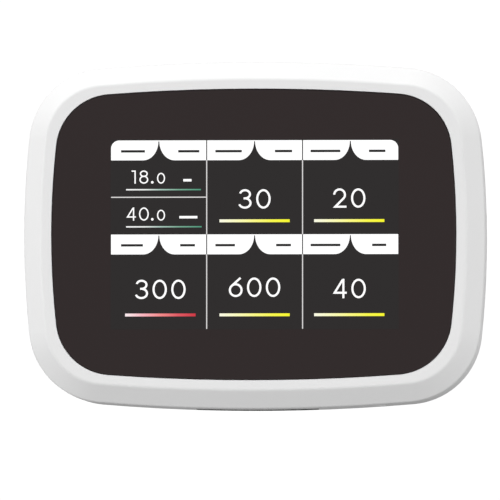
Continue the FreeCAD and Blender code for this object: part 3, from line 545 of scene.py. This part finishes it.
# in mm, in the picture's own coordinates
PICTURE_X = (-36.65, -12.22, 12.25, 36.66)
PICTURE_Z = (-24.25, 24.02)
WINDOW_MARGIN = 0.1
TAB_TOPS = (23.89, -0.14)
TAB_HEIGHT = 5.08
TAB_BRIDGE = 0.25
SLIT_HALF_W = 0.13
CUSP_HALF_W = 3.9
CORNER_R = 2.1
LINE_HALF_W = 0.135
SPLIT_Z = 9.38

# how far each kind of plate stands in front of the glass
PROUD = {"window": 0.015, "line": 0.030, "tab": 0.045, "mark": 0.070}


def tab_half(outer, inner, top, rounded):
    """Half of a white tab: from its outer end to the slit at inner, with a curved lower corner."""
    low = top - TAB_HEIGHT
    side = 1 if outer > inner else -1
    slit = inner + side * SLIT_HALF_W
    bridge = top - TAB_BRIDGE
    curve = arc(0.0, 0.0, CUSP_HALF_W, bridge - low, 180, 270)
    lower = [(slit + side * (CUSP_HALF_W + px), bridge + pz) for px, pz in curve]
    shape = [(inner, top), (inner, bridge)] + lower + [(outer, low)]
    if rounded:
        corner = arc(0.0, 0.0, CORNER_R, CORNER_R, 0, 90)
        shape += [(outer + side * (px - CORNER_R), top - CORNER_R + pz) for px, pz in corner]
    else:
        shape.append((outer, top))
    return shape if side > 0 else shape[::-1]


def make_tabs(material):
    """The white tabs along the top of each row of fields."""
    faces = []
    for row, top in enumerate(TAB_TOPS):
        for column in range(3):
            left = PICTURE_X[column] + (LINE_HALF_W if column else 0.0)
            right = PICTURE_X[column + 1] - (LINE_HALF_W if column < 2 else 0.0)
            middle = (PICTURE_X[column] + PICTURE_X[column + 1]) / 2
            first = row == 0 and column == 0
            last = row == 0 and column == 2
            faces.append(tab_half(left, middle, top, first))
            faces.append(tab_half(right, middle, top, last))
    plate("screen_tabs", faces, PROUD["tab"], material)


def make_lines(pale, dark):
    """The lines between the fields: pale in the open, dark across the tabs."""
    faces = [bar(PICTURE_X[0], PICTURE_X[1], SPLIT_Z - LINE_HALF_W, SPLIT_Z + LINE_HALF_W)]
    crossings = []
    for x in PICTURE_X[1:3]:
        low = TAB_TOPS[0] - TAB_HEIGHT
        faces.append(bar(x - LINE_HALF_W, x + LINE_HALF_W, TAB_TOPS[1], low))
        faces.append(bar(x - LINE_HALF_W, x + LINE_HALF_W, PICTURE_Z[0], TAB_TOPS[1] - TAB_HEIGHT))
        for top in TAB_TOPS:
            crossings.append(bar(x - LINE_HALF_W, x + LINE_HALF_W, top - TAB_HEIGHT, top))
    plate("screen_lines", faces, PROUD["line"], pale)
    plate("screen_tab_gaps", crossings, PROUD["line"], dark)


# name, left, right, lower edge, height, material
BARS = (
    ("temperature", -32.8, -13.7, 11.14, 0.34, "green"),
    ("humidity", -32.8, -13.5, 1.66, 0.34, "green"),
    ("pm10", -8.95, 8.96, 2.95, 0.74, "yellow"),
    ("pm25", 15.20, 33.12, 2.95, 0.74, "yellow"),
    ("voc", -33.05, -15.05, -21.05, 0.74, "red"),
    ("co2", -8.95, 8.96, -21.05, 0.74, "yellow"),
    ("formaldehyde", 15.20, 33.12, -21.05, 0.74, "yellow"),
)

# round numbers that stand for readings: name, baseline, height, stroke, ((figure, left), ...)
READINGS = (
    ("temperature", 12.86, 3.36, 0.32, (("1", -31.40), ("8", -29.4), (".", -26.45), ("0", -24.9))),
    ("humidity", 3.42, 3.36, 0.32, (("4", -32.75), ("0", -29.5), (".", -26.45), ("0", -24.9))),
    ("pm10", 6.43, 4.95, 0.51, (("3", -4.09), ("0", 0.43))),
    ("pm25", 6.62, 4.92, 0.51, (("2", 20.05), ("0", 24.64))),
    ("voc", -16.60, 4.92, 0.51, (("3", -30.49), ("0", -26.04), ("0", -21.25))),
    ("co2", -16.12, 4.95, 0.51, (("6", -6.56), ("0", -1.92), ("0", 2.89))),
    ("formaldehyde", -16.48, 4.95, 0.51, (("4", 19.95), ("0", 24.71))),
)
# the figure after a point, as a share of the others' height and stroke
LAST_FIGURE = 0.82
LAST_STROKE = 0.94

# plain bars in the places of words: name, left, right, lower edge
LABELS = (
    ("temperature", -34.1, -28.0, 20.80),
    ("humidity", -19.5, -14.1, 20.80),
    ("pm10", -10.0, -3.25, 20.80),
    ("pm10_unit", 5.2, 9.6, 20.80),
    ("pm25", 14.3, 21.9, 20.80),
    ("pm25_unit", 29.2, 33.4, 20.80),
    ("voc", -34.1, -28.5, -3.20),
    ("voc_unit", -19.0, -15.2, -3.20),
    ("co2", -10.0, -5.0, -3.20),
    ("co2_unit", 5.5, 9.3, -3.20),
    ("formaldehyde", 14.3, 21.9, -3.20),
    ("formaldehyde_unit", 30.0, 33.6, -3.20),
)
UNITS = (
    ("temperature_unit", -18.2, -16.1, 13.40),
    ("humidity_unit", -19.2, -14.6, 3.96),
)
LABEL_HEIGHT = 0.62

GREEN = [
    (0.0, (1.0, 1.0, 1.0)),
    (0.25, (0.85, 0.88, 0.86)),
    (0.45, (0.42, 0.60, 0.53)),
    (0.70, (0.18, 0.41, 0.29)),
    (1.0, (0.06, 0.31, 0.19)),
]
YELLOW = [
    (0.0, (1.0, 1.0, 0.82)),
    (0.25, (1.0, 1.0, 0.52)),
    (0.50, (1.0, 0.98, 0.23)),
    (0.75, (0.97, 0.96, 0.055)),
    (1.0, (0.97, 0.96, 0.005)),
]
RED = [
    (0.0, (1.0, 0.88, 0.90)),
    (0.25, (0.98, 0.47, 0.53)),
    (0.50, (0.92, 0.25, 0.25)),
    (0.75, (0.76, 0.085, 0.11)),
    (1.0, (0.62, 0.02, 0.04)),
]


def make_picture(window_material):
    """The lit picture: its window, tabs, lines, coloured bars, numbers and label bars."""
    white = lit("screen_white", [(0.0, SCREEN_WHITE)], SCREEN_WHITE_GAIN)
    pale = lit("screen_pale", [(0.0, SCREEN_PALE)])
    dark = lit("screen_dark", [(0.0, SCREEN_DARK)])
    shades = {
        "green": lit("screen_green", GREEN),
        "yellow": lit("screen_yellow", YELLOW),
        "red": lit("screen_red", RED),
    }
    window = bar(
        PICTURE_X[0] - WINDOW_MARGIN,
        PICTURE_X[-1] + WINDOW_MARGIN,
        PICTURE_Z[0] - WINDOW_MARGIN,
        PICTURE_Z[1] + WINDOW_MARGIN,
    )
    plate("screen_window", [window], PROUD["window"], window_material)
    make_tabs(white)
    make_lines(pale, dark)
    for name, left, right, low, height, tone in BARS:
        faces = [bar(left, right, low, low + height)]
        plate("screen_bar_" + name, faces, PROUD["mark"], shades[tone])
    for name, base, height, stroke, figures in READINGS:
        faces = []
        small = False
        for char, left in figures:
            size = height * (LAST_FIGURE if small else 1.0)
            faces += figure(char, (left, base), size, stroke * (LAST_STROKE if small else 1.0))
            small = char == "."
        plate("screen_reading_" + name, faces, PROUD["mark"], white)
    for labels, tone in ((LABELS, dark), (UNITS, white)):
        for name, left, right, low in labels:
            faces = [bar(left, right, low, low + LABEL_HEIGHT)]
            plate("screen_label_" + name, faces, PROUD["mark"], tone)


# ---------------------------------------------------------------- floor

FLOOR_Z = -0.25
FLOOR_R = 0.50
FLOOR_FADE = (0.30, FLOOR_R)
FLOOR_SIDES = 96


def pale_floor():
    """Matt white that fades out towards the rim, so that the floor has no visible end."""
    material = surface("floor", (0.90, 0.90, 0.90), (0.75, 0.9), 0.01, 6.0, 400.0, 2e-5)
    tree = material.node_tree
    place = tree.nodes.new("ShaderNodeTexCoord")
    reach = tree.nodes.new("ShaderNodeVectorMath")
    clear = tree.nodes.new("ShaderNodeBsdfTransparent")
    mix = tree.nodes.new("ShaderNodeMixShader")
    reach.operation = "LENGTH"
    tree.links.new(place.outputs["Object"], reach.inputs[0])
    fade = map_range(tree, reach.outputs["Value"], FLOOR_FADE, (0.0, 1.0))
    tree.links.new(fade, mix.inputs["Fac"])
    tree.links.new(tree.nodes["Principled BSDF"].outputs["BSDF"], mix.inputs[1])
    tree.links.new(clear.outputs["BSDF"], mix.inputs[2])
    tree.links.new(mix.outputs["Shader"], tree.nodes["Material Output"].inputs["Surface"])
    return material


def make_floor():
    """A plain pale round floor under the unit, which takes only its soft shadow."""
    shape = bmesh.new()
    bmesh.ops.create_circle(shape, cap_ends=True, radius=FLOOR_R, segments=FLOOR_SIDES)
    bmesh.ops.translate(shape, vec=(0.0, 0.0, FLOOR_Z), verts=shape.verts[:])
    mesh = bpy.data.meshes.new("floor")
    shape.to_mesh(mesh)
    shape.free()
    mesh.materials.append(pale_floor())
    floor = bpy.data.objects.new("floor", mesh)
    bpy.context.scene.collection.objects.link(floor)
    floor.visible_diffuse = False
    floor.visible_glossy = False
    floor.visible_shadow = False


make_camera()
make_world()
make_lights()
MATERIALS = make_materials()
finish_nodes(MATERIALS)
make_picture(MATERIALS["screen"])
make_floor()

bpy.context.scene.view_settings.view_transform = "Standard"
bpy.context.scene.cycles.use_denoising = True
